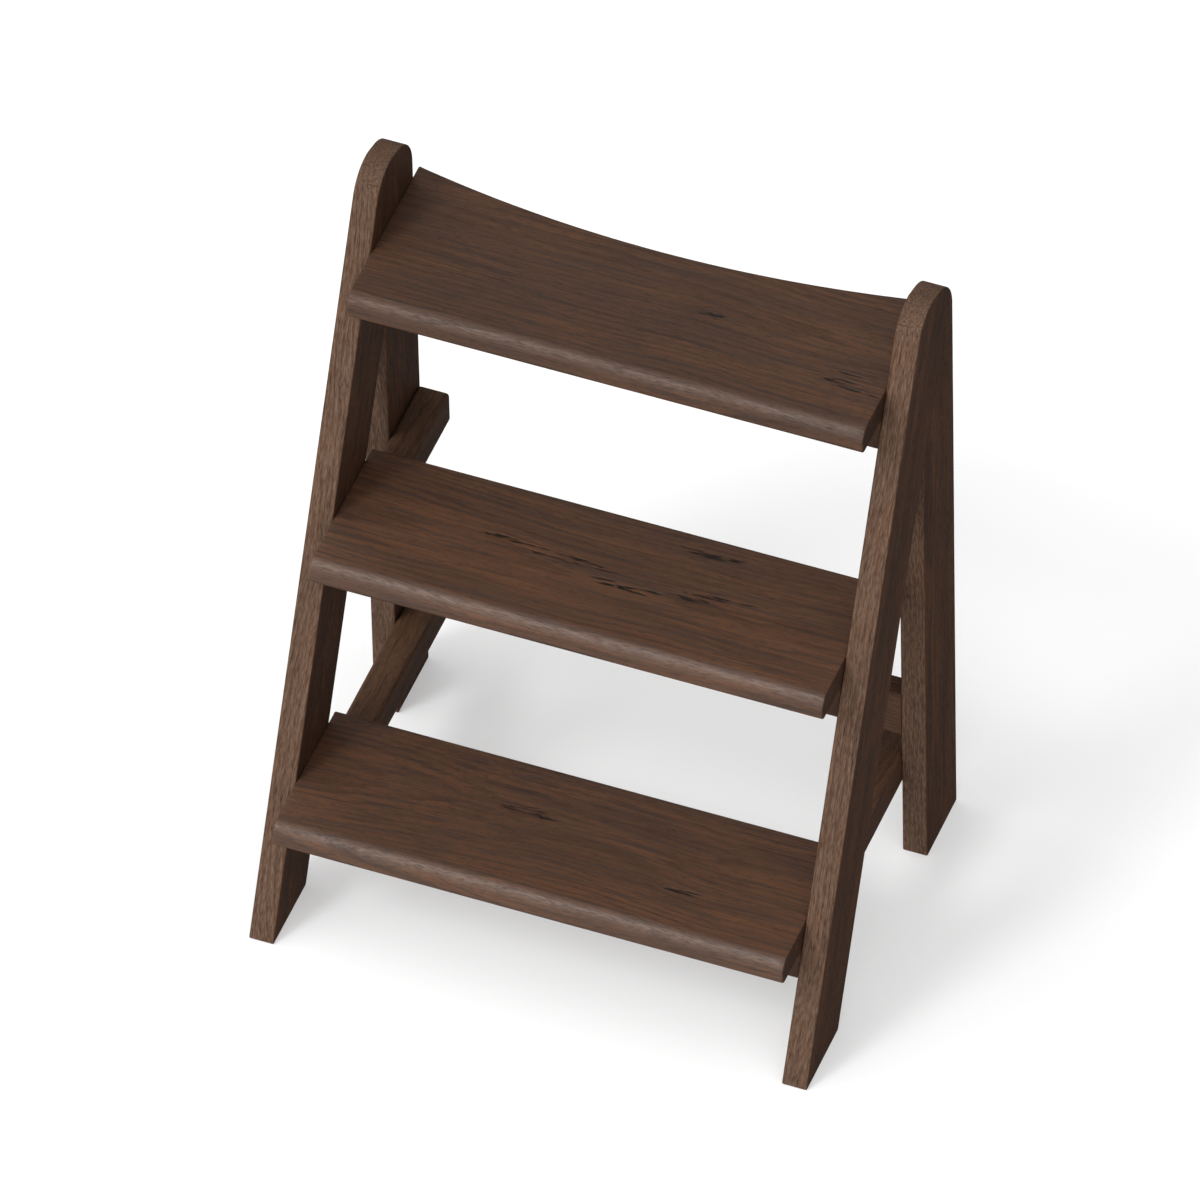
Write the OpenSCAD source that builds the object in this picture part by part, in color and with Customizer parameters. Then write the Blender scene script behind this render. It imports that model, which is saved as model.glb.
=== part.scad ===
// Spa steps: three treads between two A-shaped sides, for climbing into a round hot tub.
// X runs across the steps, Y from the front to the tub, Z up. The origin lies on the floor,
// under the middle of the overall box. Profiles are drawn in a side frame whose Y starts at
// the front edge of the front feet; module in_frame() moves every sub-part to the origin.

/* [Overall] */
// Width over the two sides
overall_w = 495; // [420:5:620]
// Height of the highest point of the sides
overall_h = 634; // [625:1:645]
// Thickness of the side boards and the stretcher
board_t = 22; // [20:1:28]

/* [Sides] */
// Lean of the front boards from vertical, in degrees
lean = 24.15; // [23.5:0.05:24.6]
// Width of a front board, square to its length
front_board_w = 68; // [62:1:72]
// Distance from the front feet to the front edge of the rear legs
leg_setback = 283; // [278:1:288]
// Width of a rear leg, front to rear
leg_w = 70; // [66:1:74]
// Radius of the front corner at the top of a side
front_corner_r = 32; // [24:1:36]
// Radius of the rear corner at the top of a side
rear_corner_r = 40; // [30:1:44]
// Fall of the top edge towards the rear, in degrees
top_fall = 15; // [10:1:18]

/* [Treads] */
// Height of the bottom tread's top face
first_tread_h = 137; // [125:1:150]
// Rise from one tread to the next
rise = 218; // [210:1:222]
// Thickness of a tread
tread_t = 24; // [20:1:28]
// Depth of the bottom and middle treads
tread_depth = 142; // [130:1:150]
// How far a tread stands out in front of the front boards, at its top face
overhang = 54; // [40:1:60]
// Radius of the upper edge of the nosing
nose_top_r = 12; // [8:1:14]
// Radius of the lower edge of the nosing
nose_bottom_r = 5; // [2:1:6]
// Radius of the rear edges of the bottom and middle treads
tread_rear_r = 3; // [1:0.5:5]
// Radius of the hollow in the top tread's rear edge, which follows the tub wall
hollow_r = 1080; // [900:5:1300]
// Distance from the front feet to the middle of the top tread's rear edge
top_tread_rear = 342.5; // [336:0.5:350]

/* [Rails and stretcher] */
// Width of a rail or cleat, across the steps
rail_w = 28; // [24:1:32]
// Height of a rail or cleat
rail_h = 32; // [28:1:36]
// How far a rail stays behind the front edge of the front board, at its lower edge
rail_setback = 10; // [4:1:14]
// How far a rail stops short of the leg's rear edge
rail_stop = 4; // [2:1:6]
// Chamfer along the long edges of a rail, cleat or stretcher
chamfer = 3; // [1:0.5:4]
// Height of the stretcher's lower edge above the floor
stretcher_z = 138; // [125:1:200]
// Height of the stretcher
stretcher_h = 48; // [44:1:60]

/* [Fasteners] */
// Diameter of a dowel
dowel_d = 8; // [6:1:10]
// Length of a dowel
dowel_len = 34; // [30:1:34]
// Depth of a dowel in the side board; the rest is in the rail or stretcher
dowel_in_board = 13.5; // [11:0.5:15]
// Diameter of a wood screw's shank
screw_d = 4.5; // [4:0.1:5]
// Diameter of a screw's countersunk head
screw_head_d = 9; // [8:0.1:10]
// Length of a tread screw
tread_screw_len = 48; // [44:1:50]
// Length of a cleat screw
cleat_screw_len = 44; // [40:1:46]
// Length of a lap-joint screw
lap_screw_len = 18; // [16:1:19]

/* [Hidden] */
$fn = 48;
SIDES = [-1, 1];
eps = 0.01;
// Play between a fastener and its hole, on the radius, and at a blind hole's end
hole_play = 0.1;
end_play = 0.5;
// A cutter reaches this far past the face that it opens
cut = 1;

slope = tan(lean);
foot_len = front_board_w / cos(lean);
leg_front = leg_setback;
leg_rear = leg_setback + leg_w;
inner_x = overall_w / 2 - board_t;
rail_x = inner_x - rail_w;
rail_mid_x = inner_x - rail_w / 2;
lap_t = board_t / 2;
overall_depth = top_tread_rear + hollow_r - sqrt(pow(hollow_r, 2) - pow(inner_x, 2));

// Top of a side: two round corners joined by a falling edge
corner_1 = [slope * (overall_h - front_corner_r) + front_corner_r / cos(lean),
            overall_h - front_corner_r];
corner_2_y = leg_rear - rear_corner_r;
corner_2 = [corner_2_y,
            corner_1.y + ((front_corner_r - rear_corner_r)
            - (corner_2_y - corner_1.x) * sin(top_fall)) / cos(top_fall)];

// Heights and front ends of the treads and of the rails under them, bottom to top
tread_top = [for (i = [0:2]) first_tread_h + i * rise];
tread_nose = [for (z = tread_top) slope * z - overhang];
rail_z = [for (z = tread_top) z - tread_t - rail_h];
rail_front = [for (z = rail_z) slope * z + rail_setback];
rail_rear = leg_rear - rail_stop;
rail_mid_z = [for (z = rail_z) z + rail_h / 2];

// Fastener places, front to rear, in the side frame
leg_fix = [leg_front + 18, leg_rear - 17];
function board_fix(z) = [for (f = [0.3, 0.7]) slope * z + f * foot_len];
function rail_fix(i) = concat(board_fix(rail_mid_z[i]), leg_fix);
cleat_fix = [slope * rail_mid_z[2] + 23, leg_front + 17, leg_rear - 18];
lap_fix = [leg_front + 13, leg_front + 31];
lap_fix_z = tread_top[2] - tread_t / 2;
// The front screw of a tread stands midway between the dowels of its rail
function tread_front_fix(i) = slope * rail_mid_z[i] + foot_len / 2;
tread_fix = [[tread_front_fix(0), tread_nose[0] + 122],
             [tread_front_fix(1), tread_nose[1] + 122],
             [leg_front - 2, leg_front + 35]];
stretcher_fix = [stretcher_z + 12, stretcher_z + stretcher_h - 12];
stretcher_mid_y = leg_front + board_t / 2;

SIDE_WOOD = [0.34, 0.25, 0.20];
TREAD_WOOD = [0.30, 0.22, 0.18];
RAIL_WOOD = [0.26, 0.19, 0.16];
DOWEL_WOOD = [0.72, 0.58, 0.42];
STEEL = [0.35, 0.33, 0.31];

// ---- frames and helpers ----

module in_frame() {
    translate([0, -overall_depth / 2, 0]) children();
}

// A right-hand shape (side 1) or its mirror image (side -1)
module on_side(side) {
    if (side > 0) children();
    else mirror([1, 0, 0]) children();
}

// A profile drawn in Y and Z, extruded along X from x0 to x1
module across(x0, x1) {
    translate([x0, 0, 0]) rotate([90, 0, 90]) linear_extrude(x1 - x0) children();
}

// A profile drawn in X and Z, extruded along Y from y0 to y1
module along(y0, y1) {
    translate([0, y1, 0]) rotate([90, 0, 0]) linear_extrude(y1 - y0) children();
}

// A cylinder along X that starts at x0
module bar_x(x0, y, z, r, len) {
    translate([x0, y, z]) rotate([0, 90, 0]) cylinder(r = r, h = len);
}

module chamfered_rect(w, h, c) {
    polygon([[c, 0], [w - c, 0], [w, c], [w, h - c], [w - c, h], [c, h], [0, h - c], [0, c]]);
}

// ---- fasteners, and the holes for them ----

// A dowel along X whose inner end is at x0
module dowel_x(x0, y, z) {
    tip = 1.2;
    bar_x(x0 + tip, y, z, dowel_d / 2, dowel_len - 2 * tip);
    for (end = [0, 1]) translate([x0 + end * dowel_len, y, z]) rotate([0, end ? -90 : 90, 0])
        cylinder(r1 = dowel_d / 2 - tip / 2, r2 = dowel_d / 2, h = tip);
}

module dowel_hole_x(x0, y, z) {
    bar_x(x0 - end_play, y, z, dowel_d / 2 + hole_play, dowel_len + 2 * end_play);
}

// A countersunk wood screw along +Z, with its head's face at z = 0
module wood_screw(len) {
    head_h = (screw_head_d - screw_d) / 2;
    point_h = screw_d;
    difference() {
        union() {
            cylinder(r1 = screw_head_d / 2, r2 = screw_d / 2, h = head_h);
            translate([0, 0, head_h - eps])
                cylinder(r = screw_d / 2, h = len - head_h - point_h + 2 * eps);
            translate([0, 0, len - point_h])
                cylinder(r1 = screw_d / 2, r2 = screw_d / 10, h = point_h);
        }
        translate([0, 0, -eps]) cylinder(d = screw_head_d * 0.4, h = head_h, $fn = 6);
    }
}

// The hole that wood_screw() fills
module screw_hole(len) {
    head_h = (screw_head_d - screw_d) / 2;
    r_head = screw_head_d / 2 + hole_play;
    r_shank = screw_d / 2 + hole_play;
    translate([0, 0, -cut]) cylinder(r = r_head, h = cut + eps);
    cylinder(r1 = r_head, r2 = r_shank, h = head_h);
    cylinder(r = r_shank, h = len + end_play);
}

// Where the screws stand: a transform for each group, used by screws and holes alike
module tread_screw_places(i) {
    for (side = SIDES, y = tread_fix[i]) translate([side * rail_mid_x, y, rail_z[i]]) children();
}

module cleat_screw_places() {
    for (y = cleat_fix) translate([rail_x, y, rail_mid_z[2]]) rotate([0, 90, 0]) children();
}

module lap_screw_places() {
    for (y = lap_fix) translate([inner_x, y, lap_fix_z]) rotate([0, 90, 0]) children();
}

module rail_dowels_at(i) {
    for (y = rail_fix(i)) dowel_x(inner_x + dowel_in_board - dowel_len, y, rail_mid_z[i]);
}

module rail_dowel_holes(i) {
    for (y = rail_fix(i)) dowel_hole_x(inner_x + dowel_in_board - dowel_len, y, rail_mid_z[i]);
}

// The right-hand pair; the left-hand one is its mirror image
module stretcher_dowels_at() {
    for (z = stretcher_fix) dowel_x(inner_x + dowel_in_board - dowel_len, stretcher_mid_y, z);
}

module stretcher_dowel_holes() {
    for (z = stretcher_fix)
        dowel_hole_x(inner_x + dowel_in_board - dowel_len, stretcher_mid_y, z);
}

// Every hole on one side of the steps, apart from those of the stretcher
module side_holes() {
    for (i = [0, 1]) rail_dowel_holes(i);
    cleat_screw_places() screw_hole(cleat_screw_len);
    lap_screw_places() screw_hole(lap_screw_len);
}

// ---- profiles of the sides, in Y and Z ----

// Points on an arc from angle a0 to angle a1
function arc(centre, r, a0, a1, steps) =
    [for (i = [0:steps]) centre + r * [cos(a0 + (a1 - a0) * i / steps),
                                       sin(a0 + (a1 - a0) * i / steps)]];

// A side's whole outline: up the front edge, over the two round corners, down the rear edge
module side_outline() {
    polygon(concat([[0, 0]],
                   arc(corner_1, front_corner_r, 180 - lean, 90 - top_fall, 16),
                   arc(corner_2, rear_corner_r, 90 - top_fall, 0, 20),
                   [[leg_rear, 0]]));
}

// The leaning band that a front board is cut from, wider at the front so that the outline
// alone shapes the front edge
module front_band() {
    z = overall_h + cut;
    polygon([[-cut, 0], [foot_len, 0], [foot_len + slope * z, z], [slope * z - cut, z]]);
}

module front_board_profile() {
    intersection() {
        side_outline();
        front_band();
    }
}

module leg_profile() {
    intersection() {
        side_outline();
        translate([leg_front, 0]) square([leg_w + cut, overall_h + cut]);
    }
}

// ---- sub-parts ----

// Front board, with the inner half of its top end cut away for the lap joint
module front_board(side) {
    color(SIDE_WOOD) in_frame() on_side(side) difference() {
        across(inner_x, inner_x + board_t) front_board_profile();
        translate([inner_x - cut, leg_front, 0])
            cube([lap_t + cut, leg_w + cut, overall_h + cut]);
        side_holes();
    }
}

// Rear leg, with the outer half of its top end cut away for the lap joint
module rear_leg(side) {
    color(SIDE_WOOD) in_frame() on_side(side) difference() {
        across(inner_x, inner_x + board_t) leg_profile();
        across(inner_x + lap_t, inner_x + board_t + cut) front_band();
        side_holes();
        stretcher_dowel_holes();
    }
}

// Rail or cleat under the end of tread i
module rail(side, i) {
    color(RAIL_WOOD) in_frame() on_side(side) difference() {
        along(rail_front[i], rail_rear)
            translate([rail_x, rail_z[i]]) chamfered_rect(rail_w, rail_h, chamfer);
        if (i < 2) rail_dowel_holes(i);
        else cleat_screw_places() screw_hole(cleat_screw_len);
        tread_screw_places(i) screw_hole(tread_screw_len);
    }
}

// Section of a tread: a nosing at the front, and round edges at the rear
module tread_profile(depth, rear_r) {
    translate([nose_top_r, tread_t - nose_top_r]) circle(nose_top_r);
    translate([nose_bottom_r, nose_bottom_r]) circle(nose_bottom_r);
    translate([0, nose_bottom_r]) square([nose_top_r, tread_t - nose_top_r - nose_bottom_r]);
    translate([nose_bottom_r, 0]) square([nose_top_r - nose_bottom_r, tread_t - nose_top_r]);
    translate([nose_top_r, 0]) square([depth - nose_top_r - rear_r, tread_t]);
    if (rear_r > 0) {
        for (z = [rear_r, tread_t - rear_r]) translate([depth - rear_r, z]) circle(rear_r);
        translate([depth - rear_r, rear_r]) square([rear_r, tread_t - 2 * rear_r]);
    }
}

module tread(i, depth, rear_r) {
    translate([0, tread_nose[i], tread_top[i] - tread_t])
        across(-inner_x, inner_x) tread_profile(depth, rear_r);
}

module straight_tread(i) {
    color(TREAD_WOOD) in_frame() difference() {
        tread(i, tread_depth, tread_rear_r);
        tread_screw_places(i) screw_hole(tread_screw_len);
    }
}

// The top tread's rear edge is hollowed to follow the round wall of the tub
module hollowed_tread() {
    color(TREAD_WOOD) in_frame() difference() {
        tread(2, overall_depth - tread_nose[2], 0);
        translate([0, top_tread_rear + hollow_r, tread_top[2] - tread_t - cut])
            cylinder(r = hollow_r, h = tread_t + 2 * cut, $fn = 360);
        tread_screw_places(2) screw_hole(tread_screw_len);
    }
}

// Stretcher between the rear legs, flush with their front edges
module stretcher() {
    color(RAIL_WOOD) in_frame() difference() {
        across(-inner_x, inner_x) translate([leg_front, stretcher_z])
            chamfered_rect(board_t, stretcher_h, chamfer);
        for (side = SIDES) on_side(side) stretcher_dowel_holes();
    }
}

module rail_dowels(side, i) {
    color(DOWEL_WOOD) in_frame() on_side(side) rail_dowels_at(i);
}

module both_stretcher_dowels() {
    color(DOWEL_WOOD) in_frame() for (side = SIDES) on_side(side) stretcher_dowels_at();
}

module cleat_screws(side) {
    color(STEEL) in_frame() on_side(side) cleat_screw_places() wood_screw(cleat_screw_len);
}

module lap_screws(side) {
    color(STEEL) in_frame() on_side(side) lap_screw_places() wood_screw(lap_screw_len);
}

module tread_screws(i) {
    color(STEEL) in_frame() tread_screw_places(i) wood_screw(tread_screw_len);
}

front_board(-1);  // left_front_board
front_board(1);  // right_front_board
rear_leg(-1);  // left_rear_leg
rear_leg(1);  // right_rear_leg
rail(-1, 0);  // left_lower_rail
rail(1, 0);  // right_lower_rail
rail(-1, 1);  // left_upper_rail
rail(1, 1);  // right_upper_rail
rail(-1, 2);  // left_top_cleat
rail(1, 2);  // right_top_cleat
straight_tread(0);  // bottom_tread
straight_tread(1);  // middle_tread
hollowed_tread();  // top_tread
stretcher();  // rear_stretcher
rail_dowels(-1, 0);  // left_lower_rail_dowels
rail_dowels(1, 0);  // right_lower_rail_dowels
rail_dowels(-1, 1);  // left_upper_rail_dowels
rail_dowels(1, 1);  // right_upper_rail_dowels
both_stretcher_dowels();  // stretcher_dowels
cleat_screws(-1);  // left_top_cleat_screws
cleat_screws(1);  // right_top_cleat_screws
lap_screws(-1);  // left_lap_screws
lap_screws(1);  // right_lap_screws
tread_screws(0);  // bottom_tread_screws
tread_screws(1);  // middle_tread_screws
tread_screws(2);  // top_tread_screws
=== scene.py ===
import math
import bpy
import numpy as np
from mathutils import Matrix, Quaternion, Vector
from mathutils.geometry import delaunay_2d_cdt


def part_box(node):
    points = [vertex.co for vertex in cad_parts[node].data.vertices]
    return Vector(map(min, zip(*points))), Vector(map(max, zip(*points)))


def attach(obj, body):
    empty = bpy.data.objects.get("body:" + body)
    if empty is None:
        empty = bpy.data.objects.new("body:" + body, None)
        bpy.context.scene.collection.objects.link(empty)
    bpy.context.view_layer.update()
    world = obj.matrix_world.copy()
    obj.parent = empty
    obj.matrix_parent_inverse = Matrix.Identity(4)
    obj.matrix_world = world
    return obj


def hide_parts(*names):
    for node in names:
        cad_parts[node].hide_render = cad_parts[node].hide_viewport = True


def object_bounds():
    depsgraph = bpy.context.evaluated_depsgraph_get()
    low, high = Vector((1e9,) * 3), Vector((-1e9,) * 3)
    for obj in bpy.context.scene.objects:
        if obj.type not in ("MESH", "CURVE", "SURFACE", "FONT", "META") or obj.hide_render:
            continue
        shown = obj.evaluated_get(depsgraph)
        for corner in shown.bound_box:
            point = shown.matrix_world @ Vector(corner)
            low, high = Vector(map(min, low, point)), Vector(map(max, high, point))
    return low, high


# Spa steps: boards of dark stained wood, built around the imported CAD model. Lengths inside
# this script are millimetres in the CAD model's frame; a mesh is turned into metres when it
# becomes a Blender object.

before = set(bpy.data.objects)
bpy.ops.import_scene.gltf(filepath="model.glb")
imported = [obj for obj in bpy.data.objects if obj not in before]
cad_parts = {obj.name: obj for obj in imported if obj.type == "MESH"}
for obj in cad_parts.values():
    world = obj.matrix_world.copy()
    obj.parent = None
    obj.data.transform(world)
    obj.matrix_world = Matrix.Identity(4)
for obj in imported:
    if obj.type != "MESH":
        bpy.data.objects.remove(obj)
cad_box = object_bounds()
M = 1000.0


def node_box(node):
    """Lowest and highest corner of a CAD node, in millimetres."""
    low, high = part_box(node)
    return np.array(low) * M, np.array(high) * M


# ---- sizes read from the CAD model, and the few shapes that its boxes don't show ----

BOARD_LOW, BOARD_HIGH = node_box("right_front_board")
LEG_LOW, LEG_HIGH = node_box("right_rear_leg")
INNER_X = BOARD_LOW[0]
OUTER_X = BOARD_HIGH[0]
FRONT_Y = BOARD_LOW[1]
LEG_FRONT, LEG_REAR = LEG_LOW[1], LEG_HIGH[1]
SIDE_TOP = LEG_HIGH[2]
LAP_X = (INNER_X + OUTER_X) / 2

LEAN = math.radians(24.15)
FRONT_BOARD_W = 68.0
FRONT_CORNER_R = 32.0
REAR_CORNER_R = 40.0
TOP_FALL = math.radians(15)
NOSE_TOP_R = 12.0
NOSE_BOTTOM_R = 5.0
TREAD_REAR_R = 3.0
HOLLOW_R = 1080.0
HEAD_R = 4.5

# Radii of the rounded edges of the side boards, treads, rails and stretcher, and of the side
# boards' sharp corners
BOARD_EASE = 1.2
TREAD_EASE = 1.2
RAIL_EASE = 2.0
STRETCHER_EASE = 0.5
RAIL_EDGE_R = 3.4
CORNER_R = 1.8

# Spacing of mesh points along and across the grain, across a tread, on small round corners,
# and on the ends of treads, rails and the stretcher
ALONG = 4.0
ACROSS = 1.3
TREAD_ACROSS = 0.9
ON_CORNERS = 0.8
ON_ENDS = (2.0, 2.0)
TREAD_ON_ENDS = (2.5, 2.0)

# How far a cutter reaches past the wood that it cuts away, a height below the lap joints, and
# one above the tops of the sides
PAST = 2.0
BELOW_LAP = 300.0
ABOVE_TOP = 700.0

# Where a cut turns a surface by more than this, the edge stays sharp
SHARP_ANGLE = math.radians(38)


# ---- noise ----

def lattice(cell, seed):
    """A fixed random number from 0 to 1 for each whole-numbered cell."""
    h = cell[..., 0] * 374761393 + cell[..., 1] * 668265263 + cell[..., 2] * 1440662683
    h = (h + seed * 974634777) & 0xFFFFFFFF
    h = ((h ^ (h >> 15)) * 2246822519) & 0xFFFFFFFF
    h = ((h ^ (h >> 13)) * 3266489917) & 0xFFFFFFFF
    return ((h ^ (h >> 16)) & 0xFFFFFF) / 0xFFFFFF


def noise(points, size, seed):
    """Smooth noise from -1 to 1, with features of the given size along each axis."""
    scaled = points / np.asarray(size, float)
    cell = np.floor(scaled).astype(np.int64)
    part = scaled - cell
    part = part * part * (3 - 2 * part)
    total = 0.0
    for corner in np.ndindex(2, 2, 2):
        weight = np.prod(np.where(corner, part, 1 - part), axis=-1)
        total = total + weight * lattice(cell + np.array(corner), seed)
    return 2 * total - 1


def smooth_step(low, high, value):
    """0 below low, 1 above high, and a smooth rise between them."""
    t = np.clip((value - low) / (high - low), 0, 1)
    return t * t * (3 - 2 * t)


# ---- outlines and sections ----

def arc(centre, radius, start, end, step):
    """Points on an arc from angle start to angle end, about step apart, both ends included."""
    count = max(2, int(math.ceil(abs(end - start) * radius / step)) + 1)
    angles = np.linspace(start, end, count)
    return np.stack([centre[0] + radius * np.cos(angles), centre[1] + radius * np.sin(angles)], 1)


def line(start, end, step):
    """Points from start to end, about step apart, both ends left out."""
    start, end = np.asarray(start, float), np.asarray(end, float)
    count = max(1, int(round(np.linalg.norm(end - start) / step)))
    t = np.arange(1, count)[:, None] / count
    return start + (end - start) * t


def closed(*parts):
    """Joins stretches of points into one loop. A point that all but doubles the one before it
    is left out."""
    points = np.concatenate([np.atleast_2d(np.asarray(p, float)) for p in parts if len(p)])
    gap = np.linalg.norm(points - np.roll(points, 1, axis=0), axis=1)
    return points[gap > 0.05]


def round_rect(low, high, radius, step_a, step_b):
    """A counter-clockwise rectangle with round corners; radius is one number or four, from
    the low corner round. Sides along the first axis are stepped by step_a, others by step_b."""
    r = [radius] * 4 if np.isscalar(radius) else radius
    corners = [(low[0] + r[0], low[1] + r[0]), (high[0] - r[1], low[1] + r[1]),
               (high[0] - r[2], high[1] - r[2]), (low[0] + r[3], high[1] - r[3])]
    parts = []
    for i, centre in enumerate(corners):
        start = math.pi + i * math.pi / 2
        turn = arc(centre, r[i], start, start + math.pi / 2, ON_CORNERS)
        parts.append(turn)
        after = corners[(i + 1) % 4]
        next_r = r[(i + 1) % 4]
        end = start + math.pi / 2
        target = np.array(after) + next_r * np.array([math.cos(end), math.sin(end)])
        parts.append(line(turn[-1], target, step_b if i % 2 else step_a))
    return closed(*parts)


def loop_normals(loop):
    """Outward normals of a counter-clockwise loop, lengthened at corners like a mitre."""
    before = loop - np.roll(loop, 1, axis=0)
    after = np.roll(loop, -1, axis=0) - loop
    n1 = np.stack([before[:, 1], -before[:, 0]], 1)
    n2 = np.stack([after[:, 1], -after[:, 0]], 1)
    n1 /= np.linalg.norm(n1, axis=1)[:, None]
    n2 /= np.linalg.norm(n2, axis=1)[:, None]
    mean = n1 + n2
    mean /= np.linalg.norm(mean, axis=1)[:, None]
    return mean / np.clip((mean * n1).sum(1), 0.6, 1)[:, None]


def eased_stations(low, high, step, radius):
    """(position, inset) of the rings of a prism whose two ends have round edges."""
    turn = np.linspace(0, math.pi / 2, 5)
    rise = radius * (1 - np.cos(turn))
    inset = radius * (1 - np.sin(turn))
    count = max(1, int(round((high - low - 2 * radius) / step)))
    middle = np.linspace(low + radius, high - radius, count + 1)[1:-1]
    start = list(zip(low + rise, inset))
    end = [(low + high - p, i) for p, i in reversed(start)]
    return start + [(p, 0.0) for p in middle] + end


# ---- meshes ----

class Mesh:
    """Points and faces that grow into one closed mesh."""

    def __init__(self):
        self.points = []
        self.faces = []
        self.count = 0

    def add(self, points):
        start = self.count
        self.points.append(points)
        self.count += len(points)
        return np.arange(start, self.count)

    def strip(self, ring_a, ring_b):
        """Quads between two rings with as many points each."""
        a, b = ring_a, ring_b
        quads = np.stack([a, np.roll(a, -1), np.roll(b, -1), b], 1)
        self.faces.extend(map(tuple, quads.tolist()))

    def all_points(self):
        return np.concatenate(self.points)


def inside(points, loop, margin):
    """Which points lie inside the loop and at least margin away from its points."""
    x, y = points[:, 0][:, None], points[:, 1][:, None]
    ax, ay = loop[:, 0][None], loop[:, 1][None]
    bx, by = np.roll(loop[:, 0], -1)[None], np.roll(loop[:, 1], -1)[None]
    crosses = (ay > y) != (by > y)
    run = np.where(by == ay, 1, by - ay)
    hit = crosses & (x < (bx - ax) * (y - ay) / run + ax)
    odd = hit.sum(1) % 2 == 1
    dx, dy = bx - ax, by - ay
    t = np.clip(((x - ax) * dx + (y - ay) * dy) / (dx * dx + dy * dy), 0, 1)
    near = np.hypot(x - ax - t * dx, y - ay - t * dy).min(1)
    return odd & (near > margin)


def cap_points(loop, grain, step_along, step_across):
    """Points inside a loop, on a grid along the grain direction. The grid is tested in parts,
    to save memory."""
    along = np.array(grain, float)
    across = np.array([-along[1], along[0]])
    u, v = loop @ along, loop @ across
    us = np.arange(u.min() + step_along / 2, u.max(), step_along)
    vs = np.arange(v.min() + step_across / 2, v.max(), step_across)
    grid = np.stack(np.meshgrid(us, vs, indexing="ij"), -1).reshape(-1, 2)
    points = grid[:, :1] * along + grid[:, 1:] * across
    kept = [inside(part, loop, 0.45 * step_across) for part in np.array_split(points, 12)]
    return points[np.concatenate(kept)]


def cap(mesh, ring, loop, extra, to_space, flip):
    """Fills a ring with triangles that also use the extra points."""
    index = np.concatenate([ring, mesh.add(to_space(extra))])
    flat = [Vector(p) for p in np.concatenate([loop, extra])]
    outline = [list(range(len(loop)))]
    faces, origin = delaunay_2d_cdt(flat, [], outline, 1, 1e-5)[2:4]
    for face in faces:
        corners = [int(index[origin[i][0]]) for i in face]
        mesh.faces.append(tuple(reversed(corners)) if flip else tuple(corners))


def prism(section, stations, to_space, grain, cap_steps):
    """A closed mesh: the section (a loop in its own plane) at each station (position, inset).
    to_space turns plane points and a position into space. grain is the direction in the plane
    along which the caps' points are set out, cap_steps apart."""
    mesh = Mesh()
    normals = loop_normals(section)
    rings = []
    for position, inset in stations:
        loop = section - normals * inset
        rings.append(mesh.add(to_space(loop, position)))
    for a, b in zip(rings, rings[1:]):
        mesh.strip(a, b)
    for ring, (position, inset), flip in ((rings[0], stations[0], True),
                                          (rings[-1], stations[-1], False)):
        loop = section - normals * inset
        extra = cap_points(loop, grain, *cap_steps)
        cap(mesh, ring, loop, extra, lambda p, at=position: to_space(p, at), flip)
    return mesh


def plane_x(points, x):
    """The plane's axes are Y and Z, so that it faces along +X."""
    return np.column_stack([np.full(len(points), x), points[:, 0], points[:, 1]])


def plane_y(points, y):
    """The plane's first axis is Z and its second is X, so that it faces along +Y."""
    return np.column_stack([points[:, 1], np.full(len(points), y), points[:, 0]])


# ---- wood ----

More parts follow.
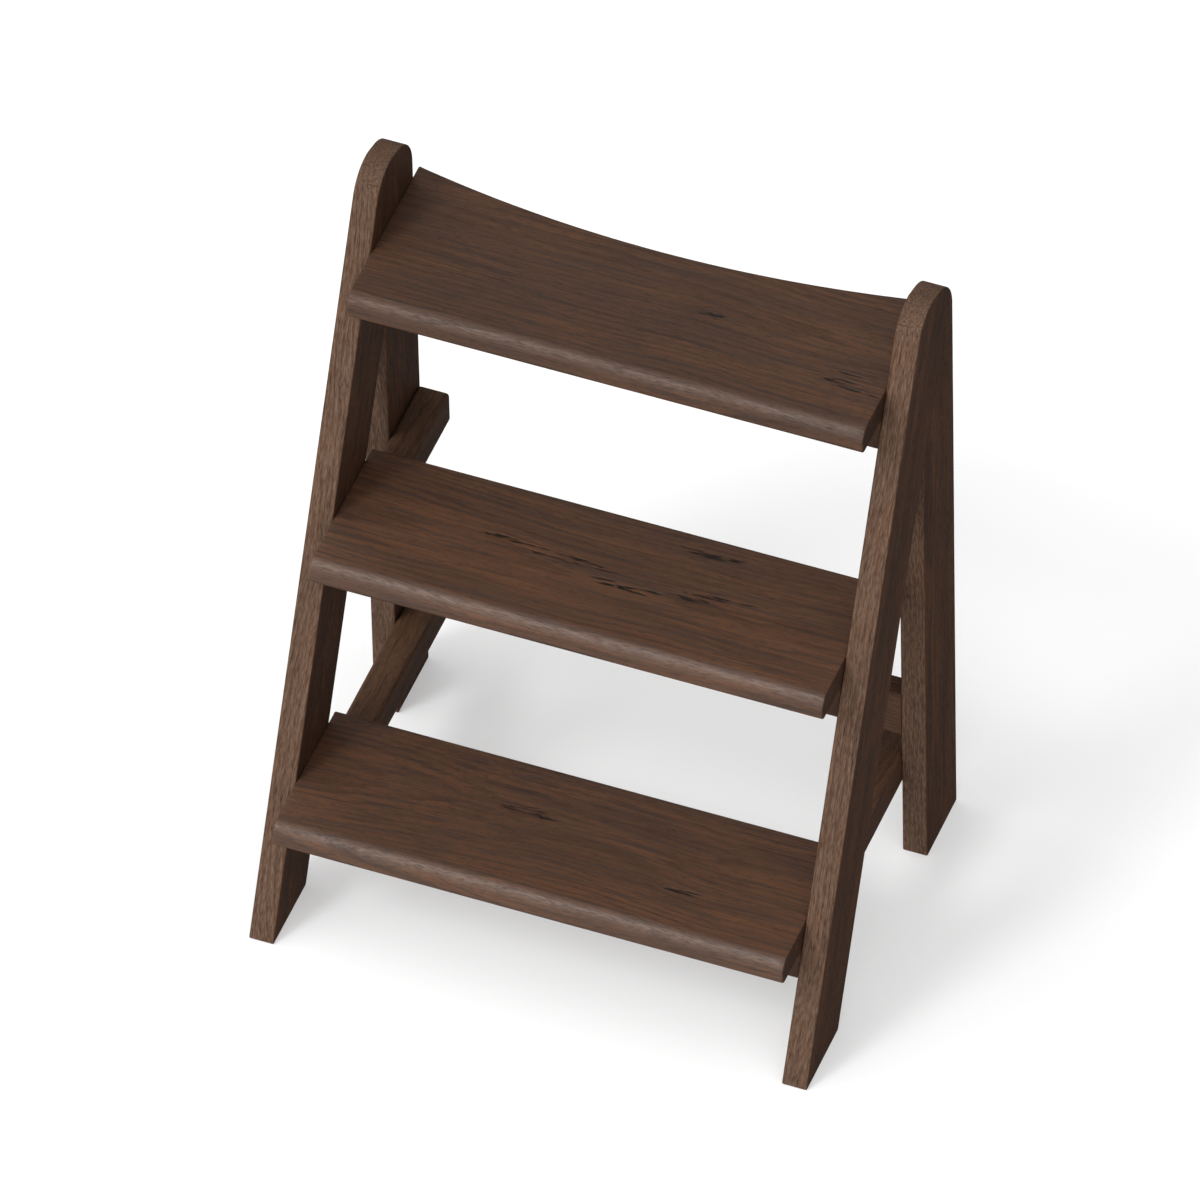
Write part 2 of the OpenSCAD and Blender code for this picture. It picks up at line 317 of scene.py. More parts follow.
class Timber:
    """How one board was cut from its log: the board's own axes (length, width and the way up),
    the log's centre line, and a number that makes its noise its own. checks lists places where
    the wood has split open: along, across, length and spread of a bunch of small cracks."""

    # Width of a year's growth, and how deep growth rings, fibre and cracks are cut, below a
    # face that lies a little under the CAD model's
    RING = 3.9
    RING_DEPTH = 0.035
    FIBRE_DEPTH = 0.04
    CRACK_DEPTH = 0.9
    LEAST_DEPTH = 0.02
    CRACKS_IN_BUNCH = 12

    # Where round the nosing the painted highlight lies, from level upwards, in degrees
    HIGHLIGHT_SLANT = 45
    HIGHLIGHT_SPREAD = 19

    def __init__(self, seed, length, width, centre, pith, tilt, checks=()):
        self.seed = seed
        self.axes = np.array([length, width, np.cross(length, width)], float)
        self.centre = np.array(centre, float)
        self.pith = pith
        self.tilt = tilt
        self.checks = checks

    def sway(self, u):
        """Sideways wandering of the grain at places along the board."""
        along = np.column_stack([u, np.zeros_like(u), np.zeros_like(u)])
        slow = noise(along, (230, 1, 1), self.seed)
        quick = noise(along, (70, 1, 1), self.seed + 1)
        return 6 * slow + 1.5 * quick

    def log_points(self, points):
        """Place of each point in the log: along it, and across it from its centre line."""
        local = (points - self.centre) @ self.axes.T
        u = local[:, 0]
        along = np.column_stack([u, np.zeros_like(u), np.zeros_like(u)])
        lift = 6 * noise(along, (240, 1, 1), self.seed + 2)
        ripple_up = 0.8 * noise(local, (50, 14, 14), self.seed + 3)
        ripple_aside = 0.9 * noise(local, (60, 14, 14), self.seed + 4)
        out = local.copy()
        out[:, 1] += self.sway(u) - self.pith[0] + ripple_aside
        out[:, 2] += lift - self.pith[1] + self.tilt * u + ripple_up
        return out

    def pale_mask(self, normals):
        """Where the colour is made pale: on a tread, a painted highlight in a band round the top of
        the nosing, where the lamp's highlight falls; on other boards, their narrow faces, as worn
        edges and a painted sheen. Only treads have checks, and only they have a nosing."""
        if not self.checks:
            # Other boards: paler narrow faces, as worn edges and a painted sheen
            return smooth_step(0.15, 0.75, 1 - np.abs(normals @ self.axes[1]))
        # A tread: a painted highlight in a band round the nosing, where the lamp's highlight falls
        slant = np.degrees(np.arctan2(-normals[:, 1], normals[:, 2]))
        return np.exp(-((slant - self.HIGHLIGHT_SLANT) / self.HIGHLIGHT_SPREAD) ** 2)

    def cracks(self, points, log):
        """How much of a crack each point is in, from 0 to 1."""
        total = np.zeros(len(points))
        up = ((points - self.centre) @ self.axes.T)[:, 2]
        random = np.random.default_rng(self.seed)
        for along, across, length, spread in self.checks:
            for _ in range(self.CRACKS_IN_BUNCH):
                u = along + length * random.uniform(-0.42, 0.42)
                v = across + spread * random.uniform(-0.5, 0.5)
                half = length * random.uniform(0.12, 0.26)
                width = random.uniform(0.45, 0.85)
                line_v = v + self.sway(np.array([float(u)]))[0] - self.pith[0]
                line_v = line_v + 0.05 * (log[:, 0] - u)
                taper = np.clip(1 - ((log[:, 0] - u) / half) ** 2, 0, 1)
                off = (log[:, 1] - line_v) / (width * (0.35 + 0.65 * taper))
                total = np.maximum(total, np.exp(-off ** 2) * np.sqrt(taper))
        return total * (up > 0)

    def relief(self, points, log):
        """Depth of the surface below the planed face, in millimetres, and the cracks."""
        radius = np.hypot(log[:, 1], log[:, 2])
        ring = 0.5 + 0.5 * np.cos(2 * math.pi * radius / self.RING)
        fibre = 0.5 + 0.5 * noise(log, (34, 1.7, 1.7), self.seed + 5)
        crack = self.cracks(points, log) if self.checks else np.zeros(len(points))
        broken = 0.7 + 0.9 * noise(log, (5, 1.2, 1.2), self.seed + 8)
        crack = crack * np.clip(broken, 0.15, 1)
        depth = self.LEAST_DEPTH + self.RING_DEPTH * ring + self.FIBRE_DEPTH * fibre
        return depth + self.CRACK_DEPTH * crack, crack


def vertex_normals(mesh):
    found = np.empty(len(mesh.vertices) * 3, np.float32)
    mesh.vertex_normals.foreach_get("vector", found)
    return found.reshape(-1, 3).astype(float)


def write_attribute(mesh, name, kind, values):
    attribute = mesh.attributes.new(name, kind, "POINT")
    field = "vector" if kind == "FLOAT_VECTOR" else "value"
    attribute.data.foreach_set(field, np.asarray(values, np.float32).ravel())


def wooden(name, node, slot, mesh, timber, material):
    """Turns a mesh into the board that stands for a CAD node: cuts the wood's relief into it
    and stores where each point lay in the log, for the material."""
    points = mesh.all_points()
    data = bpy.data.meshes.new(name)
    data.from_pydata((points / M).tolist(), [], mesh.faces)
    data.validate()
    log = timber.log_points(points)
    depth, crack = timber.relief(points, log)
    normals = vertex_normals(data)
    points = points - normals * depth[:, None]
    data.vertices.foreach_set("co", (points / M).astype(np.float32).ravel())
    data.update()
    write_attribute(data, "log", "FLOAT_VECTOR", log)
    write_attribute(data, "crack", "FLOAT", crack)
    write_attribute(data, "highlight_and_wear", "FLOAT", timber.pale_mask(normals))
    end = smooth_step(0.6, 0.95, np.abs(normals @ timber.axes[0]))
    # The side boards' ends are no darker than their edges
    write_attribute(data, "end", "FLOAT", end * (slot != "side_wood"))
    data.shade_smooth()
    data.materials.append(material)
    piece = bpy.data.objects.new(name, data)
    bpy.context.scene.collection.objects.link(piece)
    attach(piece, "root")
    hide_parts(node)
    return piece


def box_cutter(low, high):
    """A cutter that fills the box between two corners, in millimetres."""
    low, high = np.array(low) / M, np.array(high) / M
    corners = [(x, y, z) for x in (low[0], high[0]) for y in (low[1], high[1])
               for z in (low[2], high[2])]
    return cutter(corners, [(0, 1, 3, 2), (4, 6, 7, 5), (0, 4, 5, 1), (2, 3, 7, 6),
                            (0, 2, 6, 4), (1, 5, 7, 3)])


def cutter(points, faces):
    """An object whose shape is to be cut away, from points in metres."""
    data = bpy.data.meshes.new("cutter")
    data.from_pydata([tuple(p) for p in points], [], faces)
    data.update()
    piece = bpy.data.objects.new("cutter", data)
    bpy.context.scene.collection.objects.link(piece)
    return piece


def cut_away(piece, tool):
    """Cuts the tool's shape out of a piece, and removes the tool."""
    step = piece.modifiers.new("cut", "BOOLEAN")
    step.operation = "DIFFERENCE"
    step.solver = "EXACT"
    step.object = tool
    graph = bpy.context.evaluated_depsgraph_get()
    made = bpy.data.meshes.new_from_object(piece.evaluated_get(graph), depsgraph=graph)
    piece.modifiers.clear()
    old = piece.data
    piece.data = made
    made.name = piece.name
    made.set_sharp_from_angle(angle=SHARP_ANGLE)
    bpy.data.meshes.remove(old)
    tool_data = tool.data
    bpy.data.objects.remove(tool)
    bpy.data.meshes.remove(tool_data)


# ---- materials ----

class Nodes:
    """Short calls for building a material's node tree."""

    def __init__(self, name):
        self.material = bpy.data.materials.new(name)
        self.material.use_nodes = True
        self.tree = self.material.node_tree
        self.tree.nodes.clear()
        self.shader = self.tree.nodes.new("ShaderNodeBsdfPrincipled")
        output = self.tree.nodes.new("ShaderNodeOutputMaterial")
        self.tree.links.new(self.shader.outputs["BSDF"], output.inputs["Surface"])

    def put(self, socket, value):
        if isinstance(value, bpy.types.NodeSocket):
            self.tree.links.new(value, socket)
        else:
            socket.default_value = value

    def attribute(self, name, output):
        node = self.tree.nodes.new("ShaderNodeAttribute")
        node.attribute_name = name
        return node.outputs[output]

    def math(self, operation, a, b=0.0):
        node = self.tree.nodes.new("ShaderNodeMath")
        node.operation = operation
        for socket, value in zip(node.inputs, (a, b)):
            self.put(socket, value)
        return node.outputs[0]

    def scaled(self, vector, size):
        node = self.tree.nodes.new("ShaderNodeVectorMath")
        node.operation = "MULTIPLY"
        self.put(node.inputs[0], vector)
        self.put(node.inputs[1], tuple(1 / s for s in size))
        return node.outputs[0]

    def noise(self, vector, size, detail, rough=0.5):
        node = self.tree.nodes.new("ShaderNodeTexNoise")
        self.put(node.inputs["Vector"], self.scaled(vector, size))
        self.put(node.inputs["Scale"], 1.0)
        self.put(node.inputs["Detail"], detail)
        self.put(node.inputs["Roughness"], rough)
        return node.outputs["Fac"]

    def ramp(self, value, stops, smooth=False):
        """stops are (position, colour or grey)."""
        node = self.tree.nodes.new("ShaderNodeValToRGB")
        node.color_ramp.interpolation = "EASE" if smooth else "LINEAR"
        elements = node.color_ramp.elements
        while len(elements) < len(stops):
            elements.new(0.5)
        for element, (position, colour) in zip(elements, stops):
            element.position = position
            element.color = (*colour, 1) if hasattr(colour, "__len__") else (*[colour] * 3, 1)
        self.put(node.inputs["Fac"], value)
        return node.outputs["Color"]

    def mix(self, factor, a, b):
        node = self.tree.nodes.new("ShaderNodeMix")
        node.data_type = "RGBA"
        self.put(node.inputs["Factor"], factor)
        self.put(node.inputs["A"], a if isinstance(a, bpy.types.NodeSocket) else (*a, 1))
        self.put(node.inputs["B"], b if isinstance(b, bpy.types.NodeSocket) else (*b, 1))
        return node.outputs["Result"]

    def bump(self, height, strength, distance):
        node = self.tree.nodes.new("ShaderNodeBump")
        self.put(node.inputs["Height"], height)
        self.put(node.inputs["Strength"], strength)
        self.put(node.inputs["Distance"], distance)
        return node.outputs["Normal"]


def shades(tone, *colours):
    """The colours, each scaled by tone."""
    return [tuple(tone * c for c in colour) for colour in colours]


def stained_wood(name, tone, ring, gloss, rough, highlight_and_wear_colour):
    """Dark brown stained wood with open grain. tone scales its colour; ring is the width of a
    year's growth in millimetres; gloss and rough set how its thin coat of oil shines; the last
    colour is painted on where the pale mask marks: a painted highlight along a tread's nosing,
    and worn edges with a painted sheen on other boards. Sizes of noise are in millimetres,
    along and across the log."""
    n = Nodes(name)
    log = n.attribute("log", "Vector")
    split = n.tree.nodes.new("ShaderNodeSeparateXYZ")
    n.put(split.inputs[0], log)
    across, deep = split.outputs["Y"], split.outputs["Z"]
    radius = n.math("SQRT", n.math("ADD", n.math("MULTIPLY", across, across),
                                   n.math("MULTIPLY", deep, deep)))
    ragged = n.noise(log, (55, 5, 5), 3)
    phase = n.math("ADD", n.math("DIVIDE", radius, ring), n.math("MULTIPLY", ragged, 1.1))
    late = n.ramp(n.math("FRACT", phase), [(0.0, 0.05), (0.5, 0.3), (0.86, 1.0), (1.0, 0.05)])
    fade = n.ramp(n.noise(log, (120, 18, 18), 1), [(0.3, 0.35), (0.6, 1.0)])
    patch = n.noise(log, (200, 20, 20), 2)
    streak = n.noise(log, (110, 3.2, 3.2), 3, 0.62)
    band = n.noise(log, (60, 1.3, 1.3), 2, 0.6)
    fibre = n.noise(log, (15, 0.5, 0.5), 2, 0.6)
    pores = n.ramp(n.noise(log, (10, 0.6, 0.6), 1, 0.5), [(0.0, 1.0), (0.34, 0.9), (0.43, 0.0)])
    warm, plain, grey, dark, black = shades(
        tone, (0.120, 0.054, 0.027), (0.092, 0.044, 0.025), (0.052, 0.034, 0.026),
        (0.024, 0.012, 0.008), (0.010, 0.006, 0.004))
    colour = n.mix(n.ramp(patch, [(0.38, 0.0), (0.62, 1.0)], True), plain, warm)
    speck = n.ramp(n.noise(log, (8, 1.4, 1.4), 2), [(0.35, 0.22), (0.65, 0.78)])
    # Painted highlight along the treads' nosings; on other boards, worn narrow faces with painted
    # sheen
    highlight_and_wear = n.math("MULTIPLY", n.attribute("highlight_and_wear", "Fac"), speck)
    colour = n.mix(n.ramp(streak, [(0.44, 0.0), (0.70, 0.85)], True), colour, grey)
    colour = n.mix(highlight_and_wear, colour, highlight_and_wear_colour)
    colour = n.mix(n.ramp(band, [(0.48, 0.0), (0.74, 0.34)], True), colour, dark)
    colour = n.mix(n.math("MULTIPLY", n.math("MULTIPLY", late, fade), 0.46), colour, dark)
    colour = n.mix(n.math("MULTIPLY", fibre, 0.28), colour, dark)
    colour = n.mix(n.math("MULTIPLY", pores, 0.62), colour, dark)
    colour = n.mix(n.math("MULTIPLY", n.attribute("end", "Fac"), 0.5), colour, dark)
    # Cracks turn near black: painted shade deep inside them
    crack_shade = n.ramp(n.attribute("crack", "Fac"), [(0.12, 0.0), (0.55, 1.0)])
    n.put(n.shader.inputs["Base Color"], n.mix(crack_shade, colour, black))
    dull = n.math("ADD", rough, n.math("MULTIPLY", fibre, 0.12))
    n.put(n.shader.inputs["Roughness"], n.math("ADD", dull, n.math("MULTIPLY", pores, 0.15)))
    n.shader.inputs["Specular IOR Level"].default_value = gloss
    height = n.math("ADD", n.math("MULTIPLY", late, 0.5), n.math("MULTIPLY", fibre, 0.6))
    height = n.math("SUBTRACT", height, n.math("MULTIPLY", pores, 0.9))
    n.put(n.shader.inputs["Normal"], n.bump(height, 0.5, 0.00016))
    return n.material


def screw_metal():
    """Bronze-brown coated steel with a slightly worn coat."""
    n = Nodes("coated_steel")
    place = n.tree.nodes.new("ShaderNodeTexCoord").outputs["Object"]
    pale_mask = n.noise(place, (0.002, 0.002, 0.002), 4)
    n.put(n.shader.inputs["Base Color"], n.ramp(pale_mask, [(0.4, (0.10, 0.075, 0.055)),
                                                       (0.62, (0.30, 0.27, 0.23))]))
    n.put(n.shader.inputs["Roughness"], n.ramp(pale_mask, [(0.3, 0.32), (0.7, 0.5)]))
    n.shader.inputs["Metallic"].default_value = 1.0
    return n.material


def beech():
    """Raw beech, for the dowels."""
    n = Nodes("beech")
    place = n.tree.nodes.new("ShaderNodeTexCoord").outputs["Object"]
    flecks = n.noise(place, (0.004, 0.0006, 0.0006), 3)
    n.put(n.shader.inputs["Base Color"], n.ramp(flecks, [(0.3, (0.42, 0.25, 0.13)),
                                                         (0.6, (0.62, 0.42, 0.25))]))
    n.put(n.shader.inputs["Roughness"], n.ramp(flecks, [(0.3, 0.6), (0.7, 0.75)]))
    return n.material


# ---- the boards ----

# The last colour of each wood is painted on: a highlight along the treads' nosings, and worn edges
# with painted sheen on other boards
# The side boards' tone of 0.84 darkens them below the treads' wood: painted shade
SIDE_WOOD = stained_wood("side_wood", 0.84, 3.6, 0.06, 0.54, (0.185, 0.118, 0.082))
TREAD_WOOD = stained_wood("tread_wood", 1.0, 4.4, 0.26, 0.33, (0.165, 0.112, 0.087))
# The top tread's wood is a darker copy of the treads' wood: painted shade
SHADED_TOP_TREAD_WOOD = stained_wood("top_tread_wood", 0.80, 4.4, 0.22, 0.36, (0.150, 0.102, 0.079))
RAIL_WOOD = stained_wood("rail_wood", 0.9, 3.8, 0.12, 0.50, (0.12, 0.065, 0.038))
SIDES = (("left", -1), ("right", 1))


def fillet(corner, before, after, radius):
    """An arc that rounds a corner between two straight edges, given their directions."""
    before, after = np.array(before, float), np.array(after, float)
    left = np.array([-before[1], before[0]])
    turn = math.atan2(before[0] * after[1] - before[1] * after[0], before @ after)
    back = radius * math.tan(turn / 2)
    centre = np.array(corner) - before * back + left * radius
    start = math.atan2(-left[1], -left[0])
    return arc(centre, radius, start, start + turn, ON_CORNERS)


def line_in_circle(point, direction, centre, circle_r, radius):
    """Centre of the small circle that rounds the corner where a line, going along direction
    with the wood on its left, runs out through a large circle."""
    direction = np.array(direction, float)
    left = np.array([-direction[1], direction[0]])
    start = np.array(point, float) + left * radius - np.array(centre)
    along = start @ direction
    reach = (circle_r - radius) ** 2 - start @ start + along ** 2
    return np.array(centre) + start + direction * (math.sqrt(reach) - along)


def side_arcs():
    """Centres of the two round corners at the top of a side, in Y and Z."""
    slope = math.tan(LEAN)
    c1_z = SIDE_TOP - FRONT_CORNER_R
    c1 = np.array([FRONT_Y + slope * c1_z + FRONT_CORNER_R / math.cos(LEAN), c1_z])
    c2_y = LEG_REAR - REAR_CORNER_R
    drop = (FRONT_CORNER_R - REAR_CORNER_R) - (c2_y - c1[0]) * math.sin(TOP_FALL)
    return c1, np.array([c2_y, c1[1] + drop / math.cos(TOP_FALL)])


def front_board_loop():
    """The front board's outline, counter-clockwise as seen from +X."""
    up = np.array([math.sin(LEAN), math.cos(LEAN)])
    start = np.array([FRONT_Y, 0.0])
    end = start + np.array([FRONT_BOARD_W / math.cos(LEAN), 0])
    c1, c2 = side_arcs()
    top = math.pi / 2 - TOP_FALL
    tip_c = line_in_circle(end, up, c2, REAR_CORNER_R, CORNER_R)
    tip_angle = math.atan2(*(tip_c - c2)[::-1])
    feet = [fillet(start, -up, (1, 0), CORNER_R), fillet(end, (1, 0), up, CORNER_R)]
    tip = arc(tip_c, CORNER_R, -LEAN, tip_angle, ON_CORNERS)
    rear_arc = arc(c2, REAR_CORNER_R, tip_angle, top, ACROSS)
    front_arc = arc(c1, FRONT_CORNER_R, top, math.pi - LEAN, ACROSS)
    return closed(feet[0], line(feet[0][-1], feet[1][0], 2 * ACROSS), feet[1],
                  line(feet[1][-1], tip[0], ALONG), tip, rear_arc,
                  line(rear_arc[-1], front_arc[0], 2 * ACROSS), front_arc,
                  line(front_arc[-1], feet[0][0], ALONG))


def leg_loop():
    """The rear leg's outline, counter-clockwise as seen from +X."""
    start, end = np.array([LEG_FRONT, 0.0]), np.array([LEG_REAR, 0.0])
    c1, c2 = side_arcs()
    top = math.pi / 2 - TOP_FALL
    mirrored = line_in_circle((-LEG_FRONT, 0), (0, 1), (-c1[0], c1[1]), FRONT_CORNER_R, CORNER_R)
    tip_c = np.array([-mirrored[0], mirrored[1]])
    tip_angle = math.atan2(*(tip_c - c1)[::-1])
    feet = [fillet(start, (0, -1), (1, 0), CORNER_R), fillet(end, (1, 0), (0, 1), CORNER_R)]
    rear_arc = arc(c2, REAR_CORNER_R, 0, top, ACROSS)
    front_arc = arc(c1, FRONT_CORNER_R, top, tip_angle, ACROSS)
    tip = arc(tip_c, CORNER_R, tip_angle, math.pi, ON_CORNERS)
    return closed(feet[0], line(feet[0][-1], feet[1][0], 2 * ACROSS), feet[1],
                  line(feet[1][-1], rear_arc[0], ALONG), rear_arc,
                  line(rear_arc[-1], front_arc[0], 2 * ACROSS), front_arc, tip,
                  line(tip[-1], feet[0][0], ALONG))


def side_board(name, side, loop, grain, timber):
    """A board of a side: the outline through the board's thickness, with eased edges."""
    low, high = (INNER_X, OUTER_X) if side > 0 else (-OUTER_X, -INNER_X)
    stations = eased_stations(low, high, 2 * ACROSS, BOARD_EASE)
    mesh = prism(loop, stations, plane_x, grain, (ALONG, ACROSS))
    return wooden(name + "_wood", name, "side_wood", mesh, timber, SIDE_WOOD)


def make_sides():
    """The front boards and rear legs. At the lap joint, the inner half of a front board and the
    outer half of a leg are cut away. Left and right boards come from different logs."""
    lean_dir = (math.sin(LEAN), math.cos(LEAN))
    front_loop, upright_loop = front_board_loop(), leg_loop()
    foot = FRONT_BOARD_W / math.cos(LEAN)
    run = math.tan(LEAN) * ABOVE_TOP
    band = [(FRONT_Y - PAST, 0), (FRONT_Y + foot, 0),
            (FRONT_Y + foot + run, ABOVE_TOP), (FRONT_Y + run - PAST, ABOVE_TOP)]
    for i, (word, side) in enumerate(SIDES):
        middle = side * (INNER_X + OUTER_X) / 2
        timber = Timber(11 + 40 * i, (0, *lean_dir), (1, 0, 0), (middle, FRONT_Y + 60, 120),
                        (30 + 8 * i, 26 - 60 * i), 0.03)
        board = side_board(word + "_front_board", side, front_loop, lean_dir, timber)
        xs = sorted((side * (INNER_X - PAST), side * LAP_X))
        cut_away(board, box_cutter((xs[0], LEG_FRONT, BELOW_LAP),
                                   (xs[1], LEG_REAR + PAST, SIDE_TOP + PAST)))
        timber = Timber(211 + 40 * i, (0, 0, 1), (1, 0, 0), (middle, LEG_FRONT + 35, 300),
                        (-22, 40 - 70 * i), -0.02)
        leg = side_board(word + "_rear_leg", side, upright_loop, (0, 1), timber)
        xs = sorted((side * LAP_X, side * (OUTER_X + PAST)))
        points = [(x / M, y / M, z / M) for x in xs for y, z in band]
        faces = [(3, 2, 1, 0), (4, 5, 6, 7), (0, 1, 5, 4), (1, 2, 6, 5), (2, 3, 7, 6), (3, 0, 4, 7)]
        cut_away(leg, cutter(points, faces))


def tread_section(low, high):
    """The section of a tread in Y and Z: a nosing in front, and small round edges behind."""
    radii = (NOSE_BOTTOM_R, TREAD_REAR_R, TREAD_REAR_R, NOSE_TOP_R)
    return round_rect(low, high, radii, TREAD_ACROSS, TREAD_ACROSS)


# For each tread: its number, the log's centre, and its cracks
TREADS = {
    "bottom": (31, (10, -38), [(-40, 20, 60, 8), (120, -22, 30, 6)]),
    "middle": (37, (-6, -30), [(-85, 13, 34, 5), (-28, 8, 90, 8), (27, -6, 62, 7),
                               (104, 4, 70, 13), (90, 52, 60, 6)]),
    "top": (43, (16, -44), [(194, -29, 56, 18), (60, 5, 30, 5)]),
}


def make_tread(word):
    """A tread: its section along X, with the top tread's rear edge hollowed."""
    seed, pith, checks = TREADS[word]
    low, high = node_box(word + "_tread")
    section = tread_section(low[1:], high[1:])
    start = low[1] + 2 * NOSE_TOP_R
    back = math.sqrt(HOLLOW_R ** 2 - high[0] ** 2)

    def place(points, x):
        """The top tread's rear edge is hollow, so its back part is drawn in."""
        points = points.copy()
        if word == "top":
            drawn = back - math.sqrt(HOLLOW_R ** 2 - x * x)
            points[:, 0] += np.clip((points[:, 0] - start) / (high[1] - start), 0, None) * drawn
        return plane_x(points, x)

    stations = eased_stations(low[0], high[0], ALONG, TREAD_EASE)
    mesh = prism(section, stations, place, (1, 0), TREAD_ON_ENDS)
    timber = Timber(seed, (1, 0, 0), (0, 1, 0), (low + high) / 2, pith, 0.02, checks)
    # The top tread takes the darker copy of the wood: painted shade
    material = SHADED_TOP_TREAD_WOOD if word == "top" else TREAD_WOOD
    wooden(f"{word}_tread_wood", f"{word}_tread", "tread_wood", mesh, timber, material)


def heads(node, axis):
    """Middles of the heads of a CAD node's screws, which point along one axis, in the plane
    square to it. Points less than a head's width and 1 mm apart belong to the same screw."""
    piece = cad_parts[node]
    points = np.array([piece.matrix_world @ v.co for v in piece.data.vertices]) * M
    flat = np.delete(points, axis, 1)
    found = []
    while len(flat):
        near = np.hypot(*(flat - flat[0]).T) < 2 * HEAD_R + 1
        found.append((flat[near].min(0) + flat[near].max(0)) / 2)
        flat = flat[~near]
    return found


def countersink(piece, places, inward):
    """Cuts a conical seat for a screw head at each place on a board's surface. The cutter has
    three rings (depth, radius): past the surface, on it, and at the seat's bottom."""
    inward = Vector(inward)
    turn = inward.to_track_quat("Z", "Y").to_matrix()
    rings = ((-1.0, HEAD_R + 0.5), (0.0, HEAD_R + 0.5), (HEAD_R / 2, HEAD_R / 2 + 0.4))
    count = 32
    around = np.linspace(0, 2 * math.pi, count, endpoint=False)
    points, faces = [], []
    for place in places:
        first = len(points)
        for depth, r in rings:
            ring = [Vector((r * math.cos(a), r * math.sin(a), depth)) for a in around]
            points += [(Vector(place) + turn @ point) / M for point in ring]
        outer, edge, deep = np.arange(first, first + 3 * count).reshape(3, count).tolist()
        faces += [outer[::-1], deep]
        for low, high in ((outer, edge), (edge, deep)):
            faces += [(low[i - 1], low[i], high[i], high[i - 1]) for i in range(count)]
    cut_away(piece, cutter(points, faces))


# Rails and cleats: the tread that lies on each, and the height of the log's centre beside it
RAILS = {"lower_rail": ("bottom", 22), "upper_rail": ("middle", 28), "top_cleat": ("top", 34)}


def make_rail(word, side, part):
    """A rail or cleat, with seats for the heads of its screws."""
    tread, pith = RAILS[part]
    node = f"{word}_{part}"
    low, high = node_box(node)
    section = round_rect((low[2], low[0]), (high[2], high[0]), RAIL_EDGE_R, ACROSS, ACROSS)
    stations = eased_stations(low[1], high[1], ALONG, RAIL_EASE)
    mesh = prism(section, stations, plane_y, (1, 0), ON_ENDS)
    timber = Timber(80 + side * 9 + pith, (0, 1, 0), (1, 0, 0), (low + high) / 2,
                    (3 - 15 * side, pith), 0.02)
    piece = wooden(node + "_wood", node, "rail_wood", mesh, timber, RAIL_WOOD)
    under = [(x, y, low[2]) for x, y in heads(tread + "_tread_screws", 2) if x * side > 0]
    countersink(piece, under, (0, 0, 1))
    if part == "top_cleat":
        face = side * min(abs(low[0]), abs(high[0]))
        countersink(piece, [(face, y, z) for y, z in heads(node + "_screws", 0)], (side, 0, 0))


def make_stretcher():
    """The board between the rear legs."""
    low, high = node_box("rear_stretcher")
    section = round_rect(low[1:], high[1:], RAIL_EDGE_R, ACROSS, ACROSS)
    stations = eased_stations(low[0], high[0], ALONG, STRETCHER_EASE)
    mesh = prism(section, stations, plane_x, (1, 0), ON_ENDS)
    timber = Timber(131, (1, 0, 0), (0, 0, 1), (low + high) / 2, (12, 30), 0.02)
    wooden("rear_stretcher_wood", "rear_stretcher", "rail_wood", mesh, timber, RAIL_WOOD)


def finish_fasteners():
    """Screws and dowels keep their CAD shape and get a material of their own."""
    metal, raw = screw_metal(), beech()
    for name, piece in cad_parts.items():
        if name.endswith("_screws") or name.endswith("_dowels"):
            piece.data.materials.clear()
            piece.data.materials.append(metal if name.endswith("_screws") else raw)


# ---- floor, light and camera ----

FLOOR_HALF = 14.0
FLOOR_GREYS = (0.60, 0.62)
FLOOR_GLOW = 0.35

# The direction of the studio's bright side, where its light begins and is full (as the cosine
# of the angle from there), and its strength on the dark and the bright side
BRIGHT_SIDE = (-0.42, -0.74, 0.53)
BRIGHT_FROM, BRIGHT_TO = -0.25, 0.70
DARK_STRENGTH, BRIGHT_STRENGTH = 0.14, 1.65

# The sun's direction, strength and apparent width in degrees
SUN_SIDE = (-0.40, -0.52, 0.75)
SUN_STRENGTH = 1.0
SUN_SPREAD = 16


def make_floor():
    """A pale floor that glows a little, so that its shadows stay soft. The wood doesn't mirror
    it: beside the real steps, what a side board mirrors is the dark wall of a tub."""
    n = Nodes("floor")
    place = n.tree.nodes.new("ShaderNodeTexCoord").outputs["Object"]
    cloud = n.noise(place, (1.5, 1.5, 1.5), 2)
    greys = n.ramp(cloud, [(0.3, FLOOR_GREYS[0]), (0.7, FLOOR_GREYS[1])])
    n.put(n.shader.inputs["Base Color"], greys)
    n.shader.inputs["Emission Color"].default_value = (1, 1, 1, 1)
    n.shader.inputs["Emission Strength"].default_value = FLOOR_GLOW
    n.shader.inputs["Roughness"].default_value = 0.7
    n.shader.inputs["Specular IOR Level"].default_value = 0.2
    data = bpy.data.meshes.new("floor")
    half = FLOOR_HALF
    data.from_pydata([(-half, -half, 0), (half, -half, 0), (half, half, 0), (-half, half, 0)],
                     [], [(0, 1, 2, 3)])
    data.materials.append(n.material)
    floor = bpy.data.objects.new("floor", data)
    floor.visible_glossy = False
    bpy.context.scene.collection.objects.link(floor)


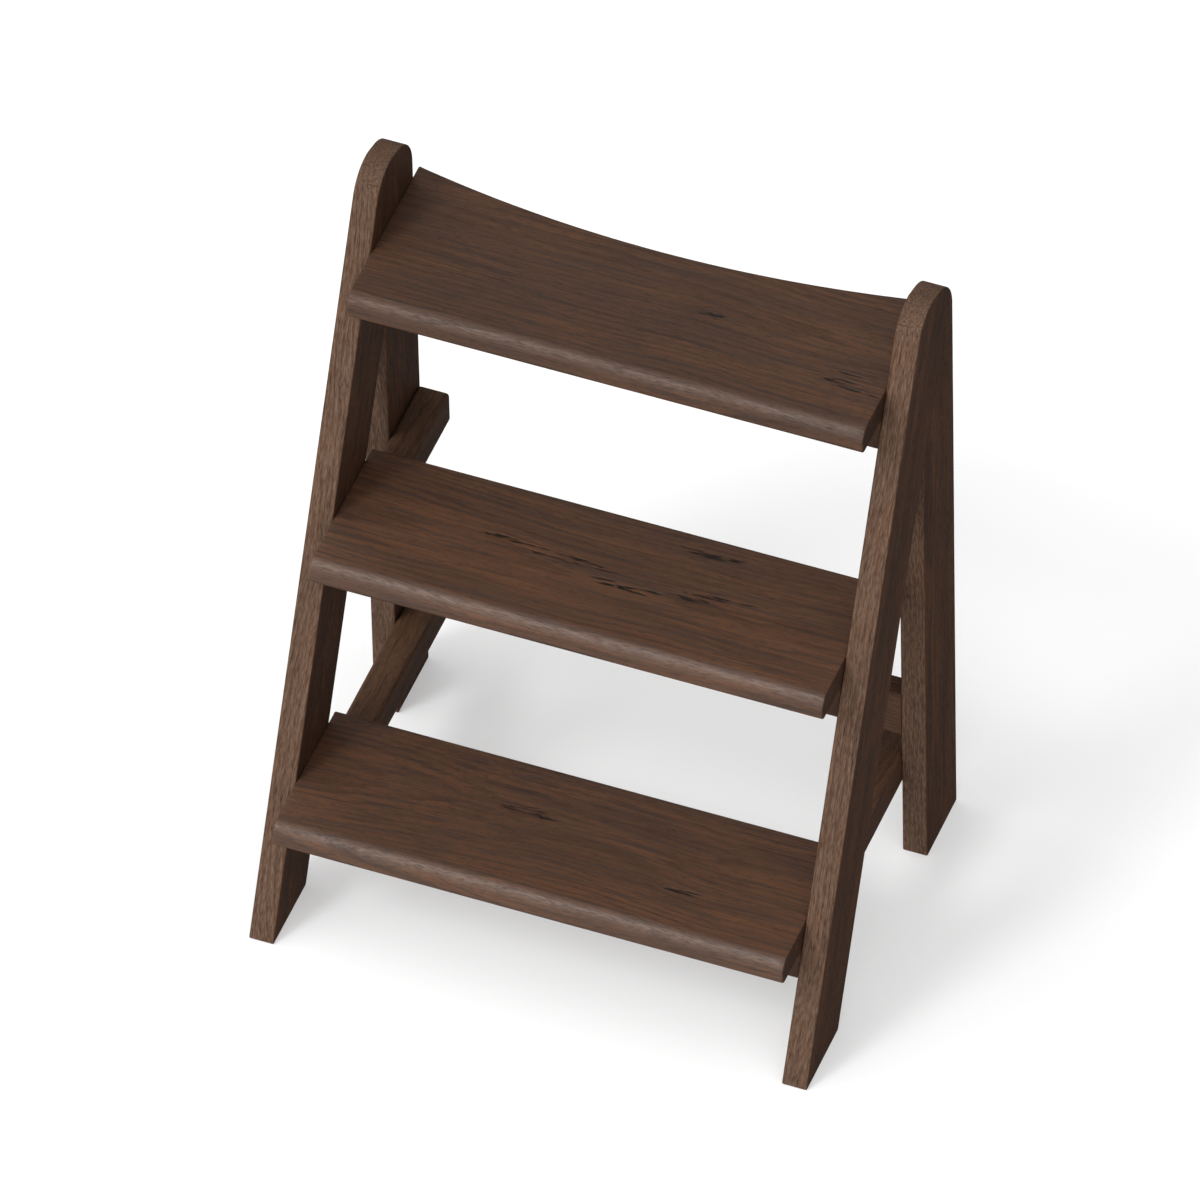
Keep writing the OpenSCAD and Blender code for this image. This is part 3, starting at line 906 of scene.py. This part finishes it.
def sun(name, towards, strength, spread):
    """A soft light from far away, shining from the given direction."""
    light = bpy.data.lights.new(name, "SUN")
    light.energy = strength
    light.angle = math.radians(spread)
    lamp = bpy.data.objects.new(name, light)
    lamp.location = Vector(towards).normalized() * 6
    lamp.rotation_mode = "QUATERNION"
    lamp.rotation_quaternion = Vector(towards).to_track_quat("Z", "Y")
    bpy.context.scene.collection.objects.link(lamp)


def make_light():
    """A bright studio in front, to the left and above, and a darker one behind."""
    world = bpy.data.worlds.new("studio")
    bpy.context.scene.world = world
    world.use_nodes = True
    tree = world.node_tree
    direction = tree.nodes.new("ShaderNodeTexCoord").outputs["Generated"]
    facing = tree.nodes.new("ShaderNodeVectorMath")
    facing.operation = "DOT_PRODUCT"
    facing.inputs[1].default_value = BRIGHT_SIDE
    shade = tree.nodes.new("ShaderNodeMapRange")
    shade.inputs["From Min"].default_value = BRIGHT_FROM
    shade.inputs["From Max"].default_value = BRIGHT_TO
    shade.inputs["To Min"].default_value = DARK_STRENGTH
    shade.inputs["To Max"].default_value = BRIGHT_STRENGTH
    tree.links.new(direction, facing.inputs[0])
    tree.links.new(facing.outputs["Value"], shade.inputs["Value"])
    tree.links.new(shade.outputs["Result"], tree.nodes["Background"].inputs["Strength"])
    tree.nodes["Background"].inputs["Color"].default_value = (1, 1, 1, 1)
    sun("key", SUN_SIDE, SUN_STRENGTH, SUN_SPREAD)
    bpy.context.scene.view_settings.view_transform = "Standard"


# Where the photograph was taken from, in metres, how far its frame is turned, and the length
# of the lens, in millimetres for a 36 mm frame
EYE = Vector((4.858, -11.892, 13.722))
ROLL = math.radians(-1.4)
LENS = 678.0


def make_camera():
    """A long lens far away, aimed at the middle of the steps."""
    data = bpy.data.cameras.new("camera")
    data.lens = LENS
    data.sensor_width = 36.0
    data.clip_start, data.clip_end = 0.1, 100.0
    camera = bpy.data.objects.new("camera", data)
    low, high = cad_box
    aim = (low + high) / 2
    camera.location = EYE
    camera.rotation_mode = "QUATERNION"
    look = (aim - EYE).to_track_quat("-Z", "Y")
    camera.rotation_quaternion = look @ Quaternion((0, 0, 1), ROLL)
    bpy.context.scene.collection.objects.link(camera)
    bpy.context.scene.camera = camera


make_camera()
make_floor()
make_light()
make_sides()
for word in TREADS:
    make_tread(word)
for word, side in SIDES:
    for part in RAILS:
        make_rail(word, side, part)
make_stretcher()
finish_fasteners()
